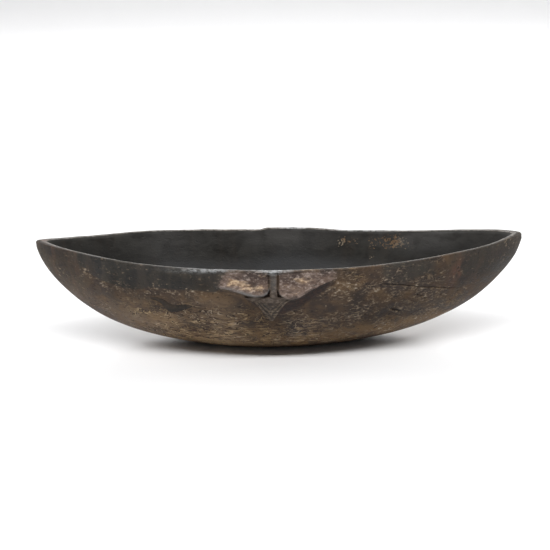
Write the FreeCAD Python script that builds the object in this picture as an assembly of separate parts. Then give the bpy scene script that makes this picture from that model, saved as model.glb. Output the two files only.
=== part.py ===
import FreeCAD, Part
import math
import os

# Carved wooden bowl, hewn from a single log.
# A long boat-shaped bowl with two pointed ends that rise above the middle of the rim. Each long side
# has one grip carved in the solid wood: two scooped lobes, a ridge between them, and a beak below.
# A dark putty fill sits flush in a natural check on the front flank.
#
# Frame, in mm: origin at the centre of the worn flat that the bowl rests on. +X runs along the length,
# +Y from the front side to the back side, +Z up.

V = FreeCAD.Vector

# Overall form
LENGTH = 700.0            # pointed end to pointed end
BEAM = 232.0              # across the outside of the rim, without the grips
END_HEIGHT = 156.0        # rim height at the two pointed ends
END_RISE = 20.0           # how far the ends stand above the middle of the rim
SHEER_POWER = 2.2         # how late the rim starts to rise towards the ends
SHEER_SKEW_FRONT = 0.7    # the front rim is this much lower on its +X half
SHEER_SKEW_BACK = 2.9     # the same for the back rim
WORN_OFF = 3.0            # the round bottom is worn away by this much, which leaves the flat

# Shape of the hull: level sections that swell quickly from the bottom and then stand almost upright
END_SWELL = (1.44, 3.05)
SIDE_SWELL = (2.38, 2.55)
PLAN_POWER = 0.81         # below 1 the sides come straighter into the ends
STEM_RADIUS = 3.5         # rounding of the two pointed ends, in plan
BELLY_SHIFT = 5.0         # the lower hull lies this much towards -X

# Hollow
END_WALL = 17.0           # solid wood left at each pointed end
SIDE_WALL = 8.5           # wall thickness at the middle of the rim
FLOOR = 15.0              # thickness of the floor
HOLLOW_PLAN_POWER = 0.76
HOLLOW_END_RADIUS = 5.0

# Grips: outlines lie in the XZ plane, x from the centre of the grip
GRIP_FRONT_X = -9.0
GRIP_BACK_X = -22.0       # in the grip's own frame, before it is turned to the back
BEAK_FOOT = 63.0
# Each lobe's lip, from the ridge outwards: (x, height of the lip, how far it stands out of the hull,
# how far below the lip its underside runs back into the hull)
LEFT_LIP = [(-6.5, 109, 11.5, 34), (-14, 104, 12.5, 29), (-25, 103, 12.8, 21), (-36, 105, 12, 15),
            (-48, 108.5, 9.5, 12), (-61, 111.5, 6.5, 10), (-72, 113.5, 3.5, 8), (-83, 117, -0.8, 7)]
RIGHT_LIP = [(7, 107, 11.5, 38), (12, 102.5, 12.6, 35), (20, 99.8, 13, 30), (30, 98.6, 12.6, 24),
             (39, 102, 11.6, 21), (50, 108.5, 9, 19), (63, 115, 6, 15), (75, 119.5, 3, 11), (88, 123, -0.8, 8)]
BEAK_HALF_WIDTH = 30.0
BEAK = [(-6, 105), (-BEAK_HALF_WIDTH, 97), (-17, 80), (-2, BEAK_FOOT), (14, 80), (BEAK_HALF_WIDTH, 97), (6, 105)]
RIDGE_HALF_WIDTH = 5.0
GROOVE_DEPTH = 1.8
GROOVE_WIDTH = 2.0

# Putty fill and the open drying check
PUTTY_OUTLINE = [(-180, 91), (-171, 92.5), (-162, 90), (-153, 84), (-144, 82), (-134, 84), (-121, 82),
                 (-130, 77), (-139, 73), (-151, 69.5), (-159, 75), (-167, 84)]
PUTTY_DEPTH = 4.5
CHECK_ENDS = [(142, 111), (180, 102.5), (212, 95.5), (233, 91)]
CHECK_WIDTH = 1.1
CHECK_DEPTH = 3.5

HALF = LENGTH / 2.0
FULL_HEIGHT = END_HEIGHT + WORN_OFF


def swell(share, powers):
    """Half size of a level section as a share of the largest, at a share of the full height."""
    rise, root = powers
    rest = max(0.0, 1.0 - share)
    return (1.0 - rest ** rise) ** (1.0 / root)


def level_wire(z, half_length, half_width, power, end_radius, shift):
    """A closed level section: two splines that meet at the two pointed ends."""
    steps = 24
    sides = []
    for side in (-1.0, 1.0):
        points = []
        params = []
        for i in range(steps + 1):
            angle = math.pi * i / steps
            bulge = half_width * math.sin(angle) ** (2.0 * power)
            tip = math.sqrt(end_radius * half_length) * math.sin(angle)
            y = (bulge ** 4 + tip ** 4) ** 0.25
            x = -half_length * math.cos(angle)
            points.append(V(x - shift, side * y, z))
            params.append(angle)
        curve = Part.BSplineCurve()
        curve.interpolate(Points=points, Parameters=params)
        sides.append(curve.toShape())
    return Part.Wire([sides[0], sides[1].reversed()])


def hull_body():
    wires = []
    for above in (0.0, 2.5, 6.5, 13.0, 23.0, 38.0, 58.0, 82.0, 108.0, 134.0, 156.0, 172.0):
        share = (above + WORN_OFF) / FULL_HEIGHT
        long_half = HALF * swell(share, END_SWELL)
        wide_half = BEAM / 2.0 * swell(share, SIDE_SWELL)
        shift = BELLY_SHIFT * max(0.0, 1.0 - share)
        wires.append(level_wire(above, long_half, wide_half, PLAN_POWER, STEM_RADIUS, shift))
    return Part.makeLoft(wires, True, False)


def hollow_body():
    wires = []
    depth = END_HEIGHT - FLOOR
    for above in (1.2, 3.5, 8.0, 16.0, 30.0, 50.0, 75.0, 100.0, 125.0, 141.0, 157.0):
        share = above / depth
        long_half = (HALF - END_WALL) * swell(share, END_SWELL)
        wide_half = (BEAM / 2.0 - SIDE_WALL) * swell(share, SIDE_SWELL)
        shift = BELLY_SHIFT * max(0.0, 1.0 - share)
        wires.append(level_wire(FLOOR + above, long_half, wide_half, HOLLOW_PLAN_POWER, HOLLOW_END_RADIUS,
                                shift))
    return Part.makeLoft(wires, True, False)


def rim_height(x, skew):
    share = min(1.0, abs(x) / HALF)
    low = END_RISE * (1.0 - share ** SHEER_POWER)
    return END_HEIGHT - low - skew * math.sin(math.pi * x / HALF)


def above_rim():
    """Everything above the rim: a face ruled from the front rim line to the back one, pushed up."""
    lines = []
    for y, skew in ((-170.0, SHEER_SKEW_FRONT), (170.0, SHEER_SKEW_BACK)):
        points = []
        for i in range(-12, 13):
            x = i * 30.0
            points.append(V(x, y, rim_height(x, skew)))
        curve = Part.BSplineCurve()
        curve.interpolate(points)
        lines.append(curve.toShape())
    return Part.makeRuledSurface(lines[0], lines[1]).extrude(V(0, 0, 60))


def prism(outline, y_from, y_to, offset_x=0.0):
    """A straight-sided outline in the XZ plane, pushed along Y."""
    points = [V(x + offset_x, y_from, z) for x, z in outline]
    face = Part.Face(Part.makePolygon(points + [points[0]]))
    return face.extrude(V(0, y_to - y_from, 0))


def leaf(outline, y_from, y_to, offset_x=0.0):
    """The same with a smooth closed outline."""
    curve = Part.BSplineCurve()
    curve.interpolate([V(x + offset_x, y_from, z) for x, z in outline], PeriodicFlag=True)
    face = Part.Face(Part.Wire(curve.toShape()))
    return face.extrude(V(0, y_to - y_from, 0))


def hull_y(x, z):
    """Distance of the hull's outside from the XZ plane, at a station x and a height z."""
    share = (z + WORN_OFF) / FULL_HEIGHT
    across = 1.0 - (x / (HALF * swell(share, END_SWELL))) ** 2
    return BEAM / 2.0 * swell(share, SIDE_SWELL) * across ** PLAN_POWER


def lobe(centre_x, lip):
    """A scooped ledge lofted through its stations: concave above the lip, a leaning underside below it."""
    wires = []
    top = END_HEIGHT - END_RISE + 6.0
    for offset, height, stand_out, drop in lip:
        x = centre_x + offset
        lip_y = hull_y(x, height) + stand_out
        rim_step = 0.12 * stand_out - 0.4
        top_y = hull_y(x, top) + rim_step
        inner_y = hull_y(x, height) - 18.0
        mid = 0.5 * (height + top)
        low = height - drop
        scoop = Part.BSplineCurve()
        scoop.interpolate([V(x, -top_y, top), V(x, -hull_y(x, mid) - 2.0 * rim_step, mid),
                           V(x, -lip_y + 0.25 * stand_out, height + 5.0), V(x, -lip_y, height)])
        under = Part.BSplineCurve()
        under.interpolate([V(x, -lip_y, height), V(x, -hull_y(x, height - 4.0) - 0.62 * stand_out, height - 4.0),
                           V(x, -hull_y(x, height - 0.5 * drop) - 0.28 * stand_out, height - 0.5 * drop),
                           V(x, -hull_y(x, low) + 0.4, low)])
        foot = V(x, -inner_y, low)
        back = V(x, -inner_y, top)
        wires.append(Part.Wire([scoop.toShape(), under.toShape(),
                                Part.makeLine(V(x, -hull_y(x, low) + 0.4, low), foot),
                                Part.makeLine(foot, back), Part.makeLine(back, V(x, -top_y, top))]))
    return Part.makeLoft(wires, True, False)


def slope_block(centre_x, half_width, lower, upper, depth):
    """A slab whose outer face slopes from the lower (y, z) to the upper (y, z)."""
    corners = [V(centre_x - half_width, lower[0], lower[1]), V(centre_x - half_width, upper[0], upper[1]),
               V(centre_x - half_width, upper[0] + depth, upper[1]),
               V(centre_x - half_width, lower[0] + depth, lower[1])]
    face = Part.Face(Part.makePolygon(corners + [corners[0]]))
    return face.extrude(V(2.0 * half_width, 0, 0))


def grip(centre_x):
    """One grip on the front side: two lobes, the ridge with its head, and the grooved beak."""
    left = lobe(centre_x, LEFT_LIP)
    right = lobe(centre_x, RIGHT_LIP)
    reach = -hull_y(centre_x, 100) - 13.0

    ridge = slope_block(centre_x, RIDGE_HALF_WIDTH, (reach, 101), (reach + 6.5, 142), 40)
    ridge = ridge.makeFillet(2.0, [e for e in ridge.Edges if e.BoundBox.ZLength > 40
                                   and e.BoundBox.YMax < reach + 8.0])
    head = [V(centre_x - 17, -112, 122), V(centre_x - 4, reach + 5, 122), V(centre_x + 4, reach + 5, 122),
            V(centre_x + 15, -112, 122)]
    head = Part.Face(Part.makePolygon(head + [head[0]])).extrude(V(0, 0, 20))

    # The beak's face leans back from the lip to the hull and carries two nested V grooves.
    top = (reach, 102)
    foot = (reach + 20.5, BEAK_FOOT - 3)
    beak = slope_block(centre_x, 40, foot, top, 40).common(prism(BEAK, -150, -80, centre_x))
    skin = slope_block(centre_x, 40, foot, top, GROOVE_DEPTH)
    for inset in (5.0, 11.0):
        for side in (-1, 1):
            top_x = side * (BEAK_HALF_WIDTH - inset * 1.3)
            band = [(top_x, 97), (top_x - side * GROOVE_WIDTH * 1.3, 97),
                    (-2, BEAK_FOOT + inset * 1.25 + GROOVE_WIDTH), (-2, BEAK_FOOT + inset * 1.25)]
            beak = beak.cut(skin.common(prism(band, -150, -80, centre_x)))
    return [left, right, ridge, head, beak]


def outer_form():
    """The hull with both grips, before it is hollowed."""
    body = hull_body()
    pieces = grip(GRIP_FRONT_X)
    for piece in grip(GRIP_BACK_X):
        piece.rotate(V(0, 0, 0), V(0, 0, 1), 180)
        pieces.append(piece)
    body = body.fuse(pieces)
    return body.cut(above_rim())


def check_slit(body):
    """The open drying check: a thin wedge along a bent line on the front flank."""
    for (x0, z0), (x1, z1) in zip(CHECK_ENDS[:-1], CHECK_ENDS[1:]):
        half = CHECK_WIDTH / 2.0
        outline = [(x0, z0 - half * 0.6), (x1, z1 - half), (x1, z1 + half), (x0, z0 + half * 0.6)]
        inner = HULL.copy()
        inner.translate(V(0, CHECK_DEPTH, 0))
        body = body.cut(prism(outline, -150, -20).cut(inner))
    return body


HULL = hull_body()
outer = outer_form()
bowl = outer.cut(hollow_body())

# The pocket follows the hull's outside at a constant depth, and the putty fills it.
deeper = HULL.copy()
deeper.translate(V(0, PUTTY_DEPTH, 0))
putty = leaf(PUTTY_OUTLINE, -150, -20).common(HULL).cut(deeper)
bowl = bowl.cut(putty)
bowl = check_slit(bowl)

os.makedirs("parts", exist_ok=True)
for name, shape in (("bowl_body", bowl), ("check_putty", putty)):
    solid = max(shape.Solids, key=lambda s: s.Volume)
    print(name, "solids", len(shape.Solids), "valid", solid.isValid(), "volume", round(solid.Volume),
          solid.BoundBox)
    solid.exportStep("parts/" + name + ".step")
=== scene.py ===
import bpy
import math
import numpy as np
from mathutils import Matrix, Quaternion, Vector, noise


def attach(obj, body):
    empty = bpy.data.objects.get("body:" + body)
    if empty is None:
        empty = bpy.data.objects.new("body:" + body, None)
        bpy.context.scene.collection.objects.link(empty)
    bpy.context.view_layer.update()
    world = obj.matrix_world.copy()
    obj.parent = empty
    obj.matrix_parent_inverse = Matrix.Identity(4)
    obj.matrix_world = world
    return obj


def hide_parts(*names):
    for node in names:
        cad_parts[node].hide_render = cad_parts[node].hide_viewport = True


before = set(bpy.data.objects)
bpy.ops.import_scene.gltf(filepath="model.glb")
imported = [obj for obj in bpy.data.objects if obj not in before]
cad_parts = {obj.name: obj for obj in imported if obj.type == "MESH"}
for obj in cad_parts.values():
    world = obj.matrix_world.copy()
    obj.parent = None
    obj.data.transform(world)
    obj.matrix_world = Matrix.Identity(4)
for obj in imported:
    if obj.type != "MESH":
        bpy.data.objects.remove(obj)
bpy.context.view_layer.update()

# The bowl is rebuilt as one closed mesh from the same formulas as the CAD solid, in mm, and scaled to
# metres at the end. The front is -Y, the back is +Y, and the two pointed ends lie along X.

MM_PER_METRE = 1000.0
HALF_LENGTH = 350.0
HALF_WIDTH = 116.0             # without the grips
END_HEIGHT = 156.0             # of the rim at the two ends
END_RISE = 20.0                # how much lower the rim is in the middle
WORN_OFF = 3.0                 # how much of the round foot is worn away to a flat
FOOT_SHIFT = 5.0               # how far the foot sits towards -X
END_WALL = 17.0                # thickness of the ends at the rim
SIDE_WALL = 8.5                # thickness of the sides at the rim
HOLLOW_START = 15.0            # height at which the hollow's level sections start to grow
FLOOR_HEIGHT = 16.2            # height of the edge of the hollow's floor, which dips in the middle
FLOOR_DIP = 1.0
LENGTH_SWELL = (1.44, 3.05)    # how fast the level sections grow with height
WIDTH_SWELL = (2.38, 2.55)
OUTER_PLAN = (0.81, 3.5)       # power of a level section's bulge, and the radius of its tips
INNER_PLAN = (0.76, 5.0)
FRONT_GRIP_X = -9.0            # where the ridge of each grip stands
BACK_GRIP_X = 22.0


# ---------------------------------------------------------------- form

def smooth(start, end, value):
    """S-shaped step from 0 at start to 1 at end; start may be the larger of the two."""
    t = np.clip((value - start) / (end - start), 0.0, 1.0)
    return t * t * (3.0 - 2.0 * t)


def bell(value, centre, width):
    return np.exp(-((value - centre) / width) ** 2)


def blot(x, z, centre_x, centre_z, wide, tall):
    """Soft oval spot, 1 at its centre."""
    return np.exp(-((x - centre_x) / wide) ** 2 - ((z - centre_z) / tall) ** 2)


def along(value, line):
    """Second column of a table of points, read at a value of the first."""
    return np.interp(value, line[:, 0], line[:, 1])


def swell(share, powers):
    """Size of a level section as a share of the largest, at a share of the full height."""
    rise, root = powers
    rest = np.clip(1.0 - share, 0.0, 1.0)
    return (1.0 - rest ** rise) ** (1.0 / root)


def shift(share):
    """How far a level section sits towards -X, at a share of the full height."""
    return FOOT_SHIFT * np.clip(1.0 - share, 0.0, 1.0)


def plan(c, half_length, half_width, shape):
    """Half width of a pointed level section at a share c of its half length."""
    power, radius = shape
    across = np.sqrt(np.clip(1.0 - c * c, 0.0, 1.0))
    bulge = half_width * across ** (2.0 * power)
    tip = np.sqrt(radius * half_length) * across
    return (bulge ** 4 + tip ** 4) ** 0.25


def hull_section(z):
    """Share of the full height, half length and half width of the outside's level section."""
    share = (z + WORN_OFF) / (END_HEIGHT + WORN_OFF)
    return share, HALF_LENGTH * swell(share, LENGTH_SWELL), HALF_WIDTH * swell(share, WIDTH_SWELL)


def outer_level(c, side, z):
    """Point of the outside at a share c of the half length of its level section."""
    share, length, width = hull_section(z)
    return c * length - shift(share), side * plan(c, length, width, OUTER_PLAN)


def outer_y(x, z):
    """Half width of the outside at one place."""
    share, length, width = hull_section(z)
    return plan((x + shift(share)) / length, length, width, OUTER_PLAN)


def inner_level(c, side, z):
    """Point of the hollow at a share c of the half length of its level section."""
    share = (z - HOLLOW_START) / (END_HEIGHT - HOLLOW_START)
    length = (HALF_LENGTH - END_WALL) * swell(share, LENGTH_SWELL)
    width = (HALF_WIDTH - SIDE_WALL) * swell(share, WIDTH_SWELL)
    return c * length - shift(share), side * plan(c, length, width, INNER_PLAN)


def rim_height(x, y):
    """The rim rises to the ends, leans a little, and wavers as hand work does."""
    share = np.clip(np.abs(x) / HALF_LENGTH, 0.0, 1.0)
    lean = 0.7 + 2.2 * (y + 170.0) / 340.0
    z = END_HEIGHT - END_RISE * (1.0 - share ** 2.2) - lean * np.sin(np.pi * x / HALF_LENGTH)
    front = -0.4 * bell(x, 145, 60) - 2.5 * bell(x, 290, 48) - 2.3 * bell(x, -190, 84)
    back = (1.2 * bell(x, -188, 48) - 1.7 * bell(x, -292, 48) + 1.0 * bell(x, 292, 40)
            + 1.1 * bell(x, -118, 34) - 0.6 * bell(x, 225, 60)
            + 2.8 * smooth(-30, -18, x) * smooth(112, 50, x))
    waver = 0.35 * np.sin(x / 23.0 + 0.7 * np.sign(y)) * np.sin(x / 61.0 + 1.0)
    off_tip = np.clip(np.abs(y) / 25.0, 0.0, 1.0)
    return z + off_tip * (np.where(y < 0.0, front, back) + waver)


# ---------------------------------------------------------------- lattice

# The columns go round the bowl. The rows go from the middle of the foot up the outside, over the rim and
# down to the middle of the hollow's floor. Square cells, CELL steps wide, are split as far as they need.

CELL = 8
COLUMNS = 2048
ROWS = {"flat": 40, "wall": 256, "rim": 24, "inner": 224, "floor": 32}
LAST_ROW = sum(ROWS.values())
STARTS = dict(zip(ROWS, [0] + np.cumsum(list(ROWS.values())).tolist()))
ROW_SPREAD = 1.35              # above 1, so the wall's rows are closer together towards the bottom
OUTLINE_STEPS = 4001
RIM_GUESS = 140.0              # the rim's height is found from here in a few passes
RIM_PASSES = 12


def column_shares():
    """Shares of the half length at which the columns stand, evenly spaced along the outline."""
    angle = np.linspace(0.0, math.pi, OUTLINE_STEPS)
    x = -HALF_LENGTH * np.cos(angle)
    y = plan(-np.cos(angle), HALF_LENGTH, HALF_WIDTH, OUTER_PLAN)
    run = np.concatenate([[0.0], np.cumsum(np.hypot(np.diff(x), np.diff(y)))])
    return -np.cos(np.interp(np.linspace(0.0, run[-1], COLUMNS // 2 + 1), run, angle))


COLUMN_SHARES = column_shares()


def within(v, part):
    """Which rows belong to one part."""
    return (v >= STARTS[part]) & (v < STARTS[part] + ROWS[part])


def progress(v, part):
    """Share of the way through one part's rows."""
    return np.clip((v - STARTS[part]) / ROWS[part], 0.0, 1.0)


def shell(u, v):
    """Uncarved place of the lattice points, the share of the way across the wall (0 on the outside, 1 in
    the hollow), the side (-1 front, 1 back), and the height of the rim's outer edge."""
    front = u <= COLUMNS // 2
    c = COLUMN_SHARES[np.where(front, u, COLUMNS - u)]
    side = np.where(front, -1.0, 1.0)
    top_out = np.full(u.shape, RIM_GUESS)
    top_in = np.full(u.shape, RIM_GUESS)
    for _ in range(RIM_PASSES):
        ox, oy = outer_level(c, side, top_out)
        top_out = rim_height(ox, oy)
        ix, iy = inner_level(c, side, top_in)
        top_in = rim_height(ix, iy)
    thick = np.hypot(ix - ox, iy - oy)
    round_out = np.minimum(2.2 + 1.4 * smooth(325, 346, np.abs(ox)), 0.33 * thick)
    round_in = np.minimum(2.0, 0.30 * thick)

    t = progress(v, "flat")
    foot_x, foot_y = outer_level(c, side, np.zeros(u.shape))
    flat_x = (foot_x + FOOT_SHIFT) * t - FOOT_SHIFT
    flat_y = foot_y * t

    wall_z = (top_out - round_out) * progress(v, "wall") ** ROW_SPREAD
    wall_x, wall_y = outer_level(c, side, wall_z)

    # the rim is a quarter round, a slightly crowned top and another quarter round
    t = progress(v, "rim")
    a = np.clip(t / 0.25, 0, 1) * math.pi / 2
    b = np.clip((t - 0.75) / 0.25, 0, 1) * math.pi / 2
    mid = np.clip((t - 0.25) / 0.5, 0, 1)
    over = round_out * (1 - np.cos(a)) + (thick - round_out - round_in) * mid + round_in * np.sin(b)
    over = over / thick
    lift = -round_out * (1 - np.sin(a)) - round_in * (1 - np.cos(b)) + 0.3 * np.sin(math.pi * mid)
    rim_x = ox + (ix - ox) * over
    rim_y = oy + (iy - oy) * over
    rim_z = top_out + (top_in - top_out) * over + lift

    inner_height = top_in - round_in - FLOOR_HEIGHT
    inner_z = FLOOR_HEIGHT + inner_height * (1 - progress(v, "inner")) ** ROW_SPREAD
    inner_x, inner_y = inner_level(c, side, inner_z)

    t = 1 - progress(v, "floor")
    edge_x, edge_y = inner_level(c, side, np.full(u.shape, FLOOR_HEIGHT))
    floor_x = (edge_x + FOOT_SHIFT) * t - FOOT_SHIFT
    floor_y = edge_y * t
    floor_z = FLOOR_HEIGHT - FLOOR_DIP * (1 - t ** 2)

    parts = [within(v, part) for part in ROWS]
    x = np.select(parts, [flat_x, wall_x, rim_x, inner_x, floor_x])
    y = np.select(parts, [flat_y, wall_y, rim_y, inner_y, floor_y])
    z = np.select(parts, [0.0, wall_z, rim_z, inner_z, floor_z])
    across = np.select(parts, [0.0, 0.0, over, 1.0, 1.0])
    return x, y, z, across, side, top_out


# ---------------------------------------------------------------- carving

# Each lobe's lip, from left to right: offset from the ridge, height of the lip, how far it stands out,
# height where its underside ends
LEFT_LIP = np.array([(-84, 117, -0.6, 110), (-77, 113, 3.2, 106), (-69, 112, 5.2, 104),
                     (-61, 111.5, 6.6, 102), (-48, 108.6, 9.5, 98), (-36, 105, 12, 91), (-25, 103, 12.8, 82),
                     (-14, 104, 12.5, 74), (-8.5, 107, 12, 68), (-6, 112, 11, 66)])
RIGHT_LIP = np.array([(6, 111, 11, 64), (8, 107, 12, 64), (11, 103.4, 12.6, 65), (20, 99.8, 13, 69),
                      (30, 98.4, 12.6, 75), (37, 101.5, 12, 80), (50, 109, 9, 90), (63, 115, 6.2, 100),
                      (75, 119.5, 3.4, 109), (90, 124, -0.5, 118)])
# Middle of the cream patch on the left lobe
CREAM_LINE = np.array([(-58, 121.5), (-46, 119.5), (-32, 115.5), (-18, 112.5)])
# By height: the ridge's half width and how far it stands out, the beak's two edges, and its keel
RIDGE_HALF = np.array([(100, 5.0), (111, 4.8), (130, 5.0), (140, 5.8)])
RIDGE_OUT = np.array([(60, 0.0), (101, 12.6), (104, 12.9), (140, 3.4)])
BEAK_LEFT = np.array([(59, -3.8), (62, -4.5), (80, -17), (93, -26), (98, -36), (102, -42)])
BEAK_RIGHT = np.array([(59, -2.2), (62, -1.5), (80, 8.5), (91, 16.5), (97, 25), (101, 33)])
BEAK_KEEL = np.array([(59, 0.0), (62, 2.0), (98, 11.9), (103, 12.7)])


def lobe(dx, z, top, lip):
    """Scooped ledge: concave from the rim down to its lip, with a leaning underside below it. Returns how
    far it stands out, the lip's height and stand-out, and the shares of the way up scoop and underside."""
    edge, out, foot = (np.interp(dx, lip[:, 0], lip[:, k]) for k in (1, 2, 3))
    step = np.clip(0.12 * out - 0.35, -0.5, 1.2)
    scoop = np.clip((z - edge) / (top + 1.0 - edge), 0.0, 1.0)
    above = step + (out - step) * (1.0 - scoop) ** 2.3
    slope = np.clip((z - foot) / (edge - foot), 0.0, 1.0)
    below = out * (0.62 * slope ** 1.15 + 0.38 * smooth(4.5, 0.3, edge - z))
    below = below - bell(slope, 0.0, 0.22) * np.clip(out / 9, 0, 1)
    return np.where(z > edge, above, below), edge, out, scoop, slope


def grip(dx, z, top):
    """How far the carving stands out of the hull, and masks for its worn wood and edges, for painted shade
    in its cuts and under its lips, and for painted grey highlights.
    """
    is_left = dx < 0
    down = top - z
    left = lobe(dx, z, top, LEFT_LIP)
    right = lobe(dx, z, top, RIGHT_LIP)
    h, edge, out, scoop, slope = (np.where(is_left, a, b) for a, b in zip(left, right))
    slant = dx - (0.62 * np.clip(z - 118, 0, 40) - 83)
    on_lobe = np.where(is_left, smooth(-3, 4, slant) * smooth(-5.0, -6.3, dx),
                       smooth(90, 86, dx) * smooth(5.4, 6.8, dx))
    in_trench = np.where(is_left, smooth(-6.3, -5.0, dx), smooth(6.8, 5.4, dx))
    trench = np.clip(np.minimum(left[0], right[0]) - 2.4, -0.8, None)
    h = np.where(z < edge - 6, h, h * on_lobe + trench * in_trench)
    h = np.where((dx < LEFT_LIP[0, 0]) | (dx > RIGHT_LIP[-1, 0]), 0.0, h)

    # ridge, with its rounded sides
    across = np.clip(np.abs(dx) / along(z, RIDGE_HALF), 0, 3)
    ridge = along(z, RIDGE_OUT) - 1.3 * across ** 2.2
    on_ridge = smooth(1.2, 0.95, across) * smooth(97, 100, z)
    h = h * (1 - on_ridge) + np.maximum(h, ridge) * on_ridge

    # bevelled head of the ridge, under the rim
    head = np.clip(1.0 - np.abs(dx + 1.5) / 16.0, 0, 1)
    h = np.maximum(h, 5.4 * head ** 0.8 * smooth(-0.4, 3.2, down) * smooth(5.6, 3.8, down))

    # beak: a keeled wedge with two nested grooves, worn and a little uneven
    waver = 1.1 * np.sin(z / 4.3 + 0.6 * np.sign(dx)) + 0.8 * np.sin(dx / 2.7)
    low_x = along(z, BEAK_LEFT)
    high_x = along(z, BEAK_RIGHT)
    inset = np.minimum(dx - low_x, high_x - dx) * 0.78
    off_keel = np.abs(dx - 0.3 * (low_x + high_x)) / np.maximum(high_x - low_x, 3.0) * 2.0
    beak = along(z, BEAK_KEEL) * (1.0 - 0.22 * np.clip(off_keel, 0, 1) ** 1.4)
    arms = smooth(99, 93, z)
    outer_cut = bell(inset + 0.5 * waver, 4.2, 1.15) * (0.25 + 0.75 * arms)
    inner_cut = bell(inset + 0.7 * waver, 8.9, 1.2) * smooth(66, 72, z) * arms
    beak = beak - 1.3 * outer_cut - 0.8 * inner_cut
    beak = beak - 1.3 * bell(z, edge - 4.0, 1.3) * smooth(4.5, 6.5, np.abs(dx))
    on_beak = smooth(-1.4, 0.4, inset) * smooth(104, 100, z) * smooth(59.5, 62, z)
    h = np.maximum(h, beak * on_beak) * on_beak + h * (1 - on_beak)

    # masks
    lobes = np.where(is_left, smooth(-3, 20, slant) * smooth(-6.2, -8.5, dx),
                     smooth(104, 68, dx) * smooth(7.0, 9.5, dx))
    lobes = lobes * smooth(-1.8, 0.6, z - edge) * smooth(-0.5, 2.0, down)
    cream, _ = line_distance(dx, z, CREAM_LINE)
    cream = bell(cream, 0.0, 6.0) + 0.7 * blot(dx, z, 44, 123, 16, 6) + 0.35 * blot(dx, z, 25, 107, 16, 8)
    # painted shade: dark in the trenches beside the ridge, in the beak's grooves, and in a band just under
    # each lobe's lip
    gap = 0.3 * bell(np.abs(dx - 0.2), 5.9, 0.6) * smooth(101, 106, z) * smooth(0, 4, down)
    shade = bell(z, edge - 3.0, np.where(is_left, 1.8, 2.0)) * np.clip(out / 8, 0, 1) * on_lobe
    shade = shade * (1 - 0.6 * on_beak) * (0.3 + 0.7 * smooth(6, 15, np.abs(dx)))
    cut_shade_sum = 0.45 * (outer_cut + inner_cut) * on_beak + gap + 0.45 * shade
    # painted shade on the lobes' leaning undersides, which face down away from the light
    under = smooth(0.0, np.where(is_left, 0.35, 0.3), slope) * (z < edge)
    under = under * np.where(is_left, smooth(-44, -26, dx), smooth(92, 70, dx))
    edges = bell(inset + 0.4 * waver, 6.4, 1.2) + 0.3 * bell(inset, 11.4, 0.9) + bell(inset, 1.4, 1.0)
    # painted highlights: grey on the lobes' lips, on the ridge's face and on its bevelled head, where light
    # catches them
    lip_highlight = np.where(is_left, bell(z, edge + 0.8, 2.2), 0.25 * bell(z, edge + 0.6, 1.6))
    lip_highlight = lip_highlight * np.clip(out / 9, 0, 1) * (1 - on_ridge)
    grey = (0.8 * lip_highlight + 0.6 * on_ridge * smooth(1.0, 0.4, across) * smooth(100, 126, z)
            + 1.2 * head * smooth(6, 3, down) * (down > -0.5))
    return h, {"lobe": lobes, "scoop": scoop, "painted_cut_shade": np.clip(cut_shade_sum, 0, 1),
               "edge": np.clip(edges, 0, 1) * on_beak * arms,
               "carve": np.maximum(lobes, np.maximum(on_beak, on_ridge)),
               "under": under * (1 - on_beak) * (1 - on_ridge),
               "cream": cream * lobes, "grey": np.clip(grey, 0, 1)}


# ---------------------------------------------------------------- marks on the front flank

CHECK_LINE = np.array([(136, 112.0), (160, 107.0), (181, 102.4), (212, 95.6), (236, 91.0), (262, 88.0)])
NICK_LINE = np.array([(152, 70.5), (161, 66.5), (172, 60.5)])
# Place and radius of the small holes
HOLES = [(192.4, 87.5, 1.5), (197.5, 84.0, 1.3), (203.0, 79.5, 1.6), (240.0, 70.0, 1.3), (139.0, 109.0, 1.2),
         (226.0, 82.0, 1.0), (118.0, 64.0, 1.1), (-61.0, 47.0, 1.2), (-207.0, 60.0, 1.1)]
PUTTY_OUTLINE = np.array([(-180, 91), (-171, 92.5), (-162, 90), (-153, 84), (-144, 82), (-134, 84),
                          (-121, 82), (-130, 77), (-139, 73), (-151, 69.5), (-159, 75), (-167, 84)])
PUTTY_SPINE = np.array([(-172, 90.5), (-161, 86), (-152, 78), (-140, 78), (-128, 80.5)])


def line_distance(x, z, points):
    """Signed distance to a bent line (positive above it) and the share of the way along it."""
    best = np.full(x.shape, 1e6)
    signed = np.zeros(x.shape)
    share = np.zeros(x.shape)
    count = len(points) - 1
    for i in range(count):
        p, q = points[i], points[i + 1]
        d = q - p
        t = np.clip(((x - p[0]) * d[0] + (z - p[1]) * d[1]) / d.dot(d), 0, 1)
        off_x, off_z = x - (p[0] + t * d[0]), z - (p[1] + t * d[1])
        r = np.hypot(off_x, off_z)
        closer = r < best
        best = np.where(closer, r, best)
        signed = np.where(closer, np.sign(off_z) * r, signed)
        share = np.where(closer, (i + t) / count, share)
    return signed, share


def closed_curve(points, per_span):
    """Catmull-Rom curve through a closed ring of points."""
    curve = []
    count = len(points)
    for i in range(count):
        p0, p1, p2, p3 = (points[(i + k - 1) % count] for k in range(4))
        for j in range(per_span):
            t = j / per_span
            curve.append(0.5 * (2 * p1 + (p2 - p0) * t + (2 * p0 - 5 * p1 + 4 * p2 - p3) * t * t
                                + (3 * p1 - p0 - 3 * p2 + p3) * t ** 3))
    return np.array(curve)


PUTTY_RING = closed_curve(PUTTY_OUTLINE, 8)


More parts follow.
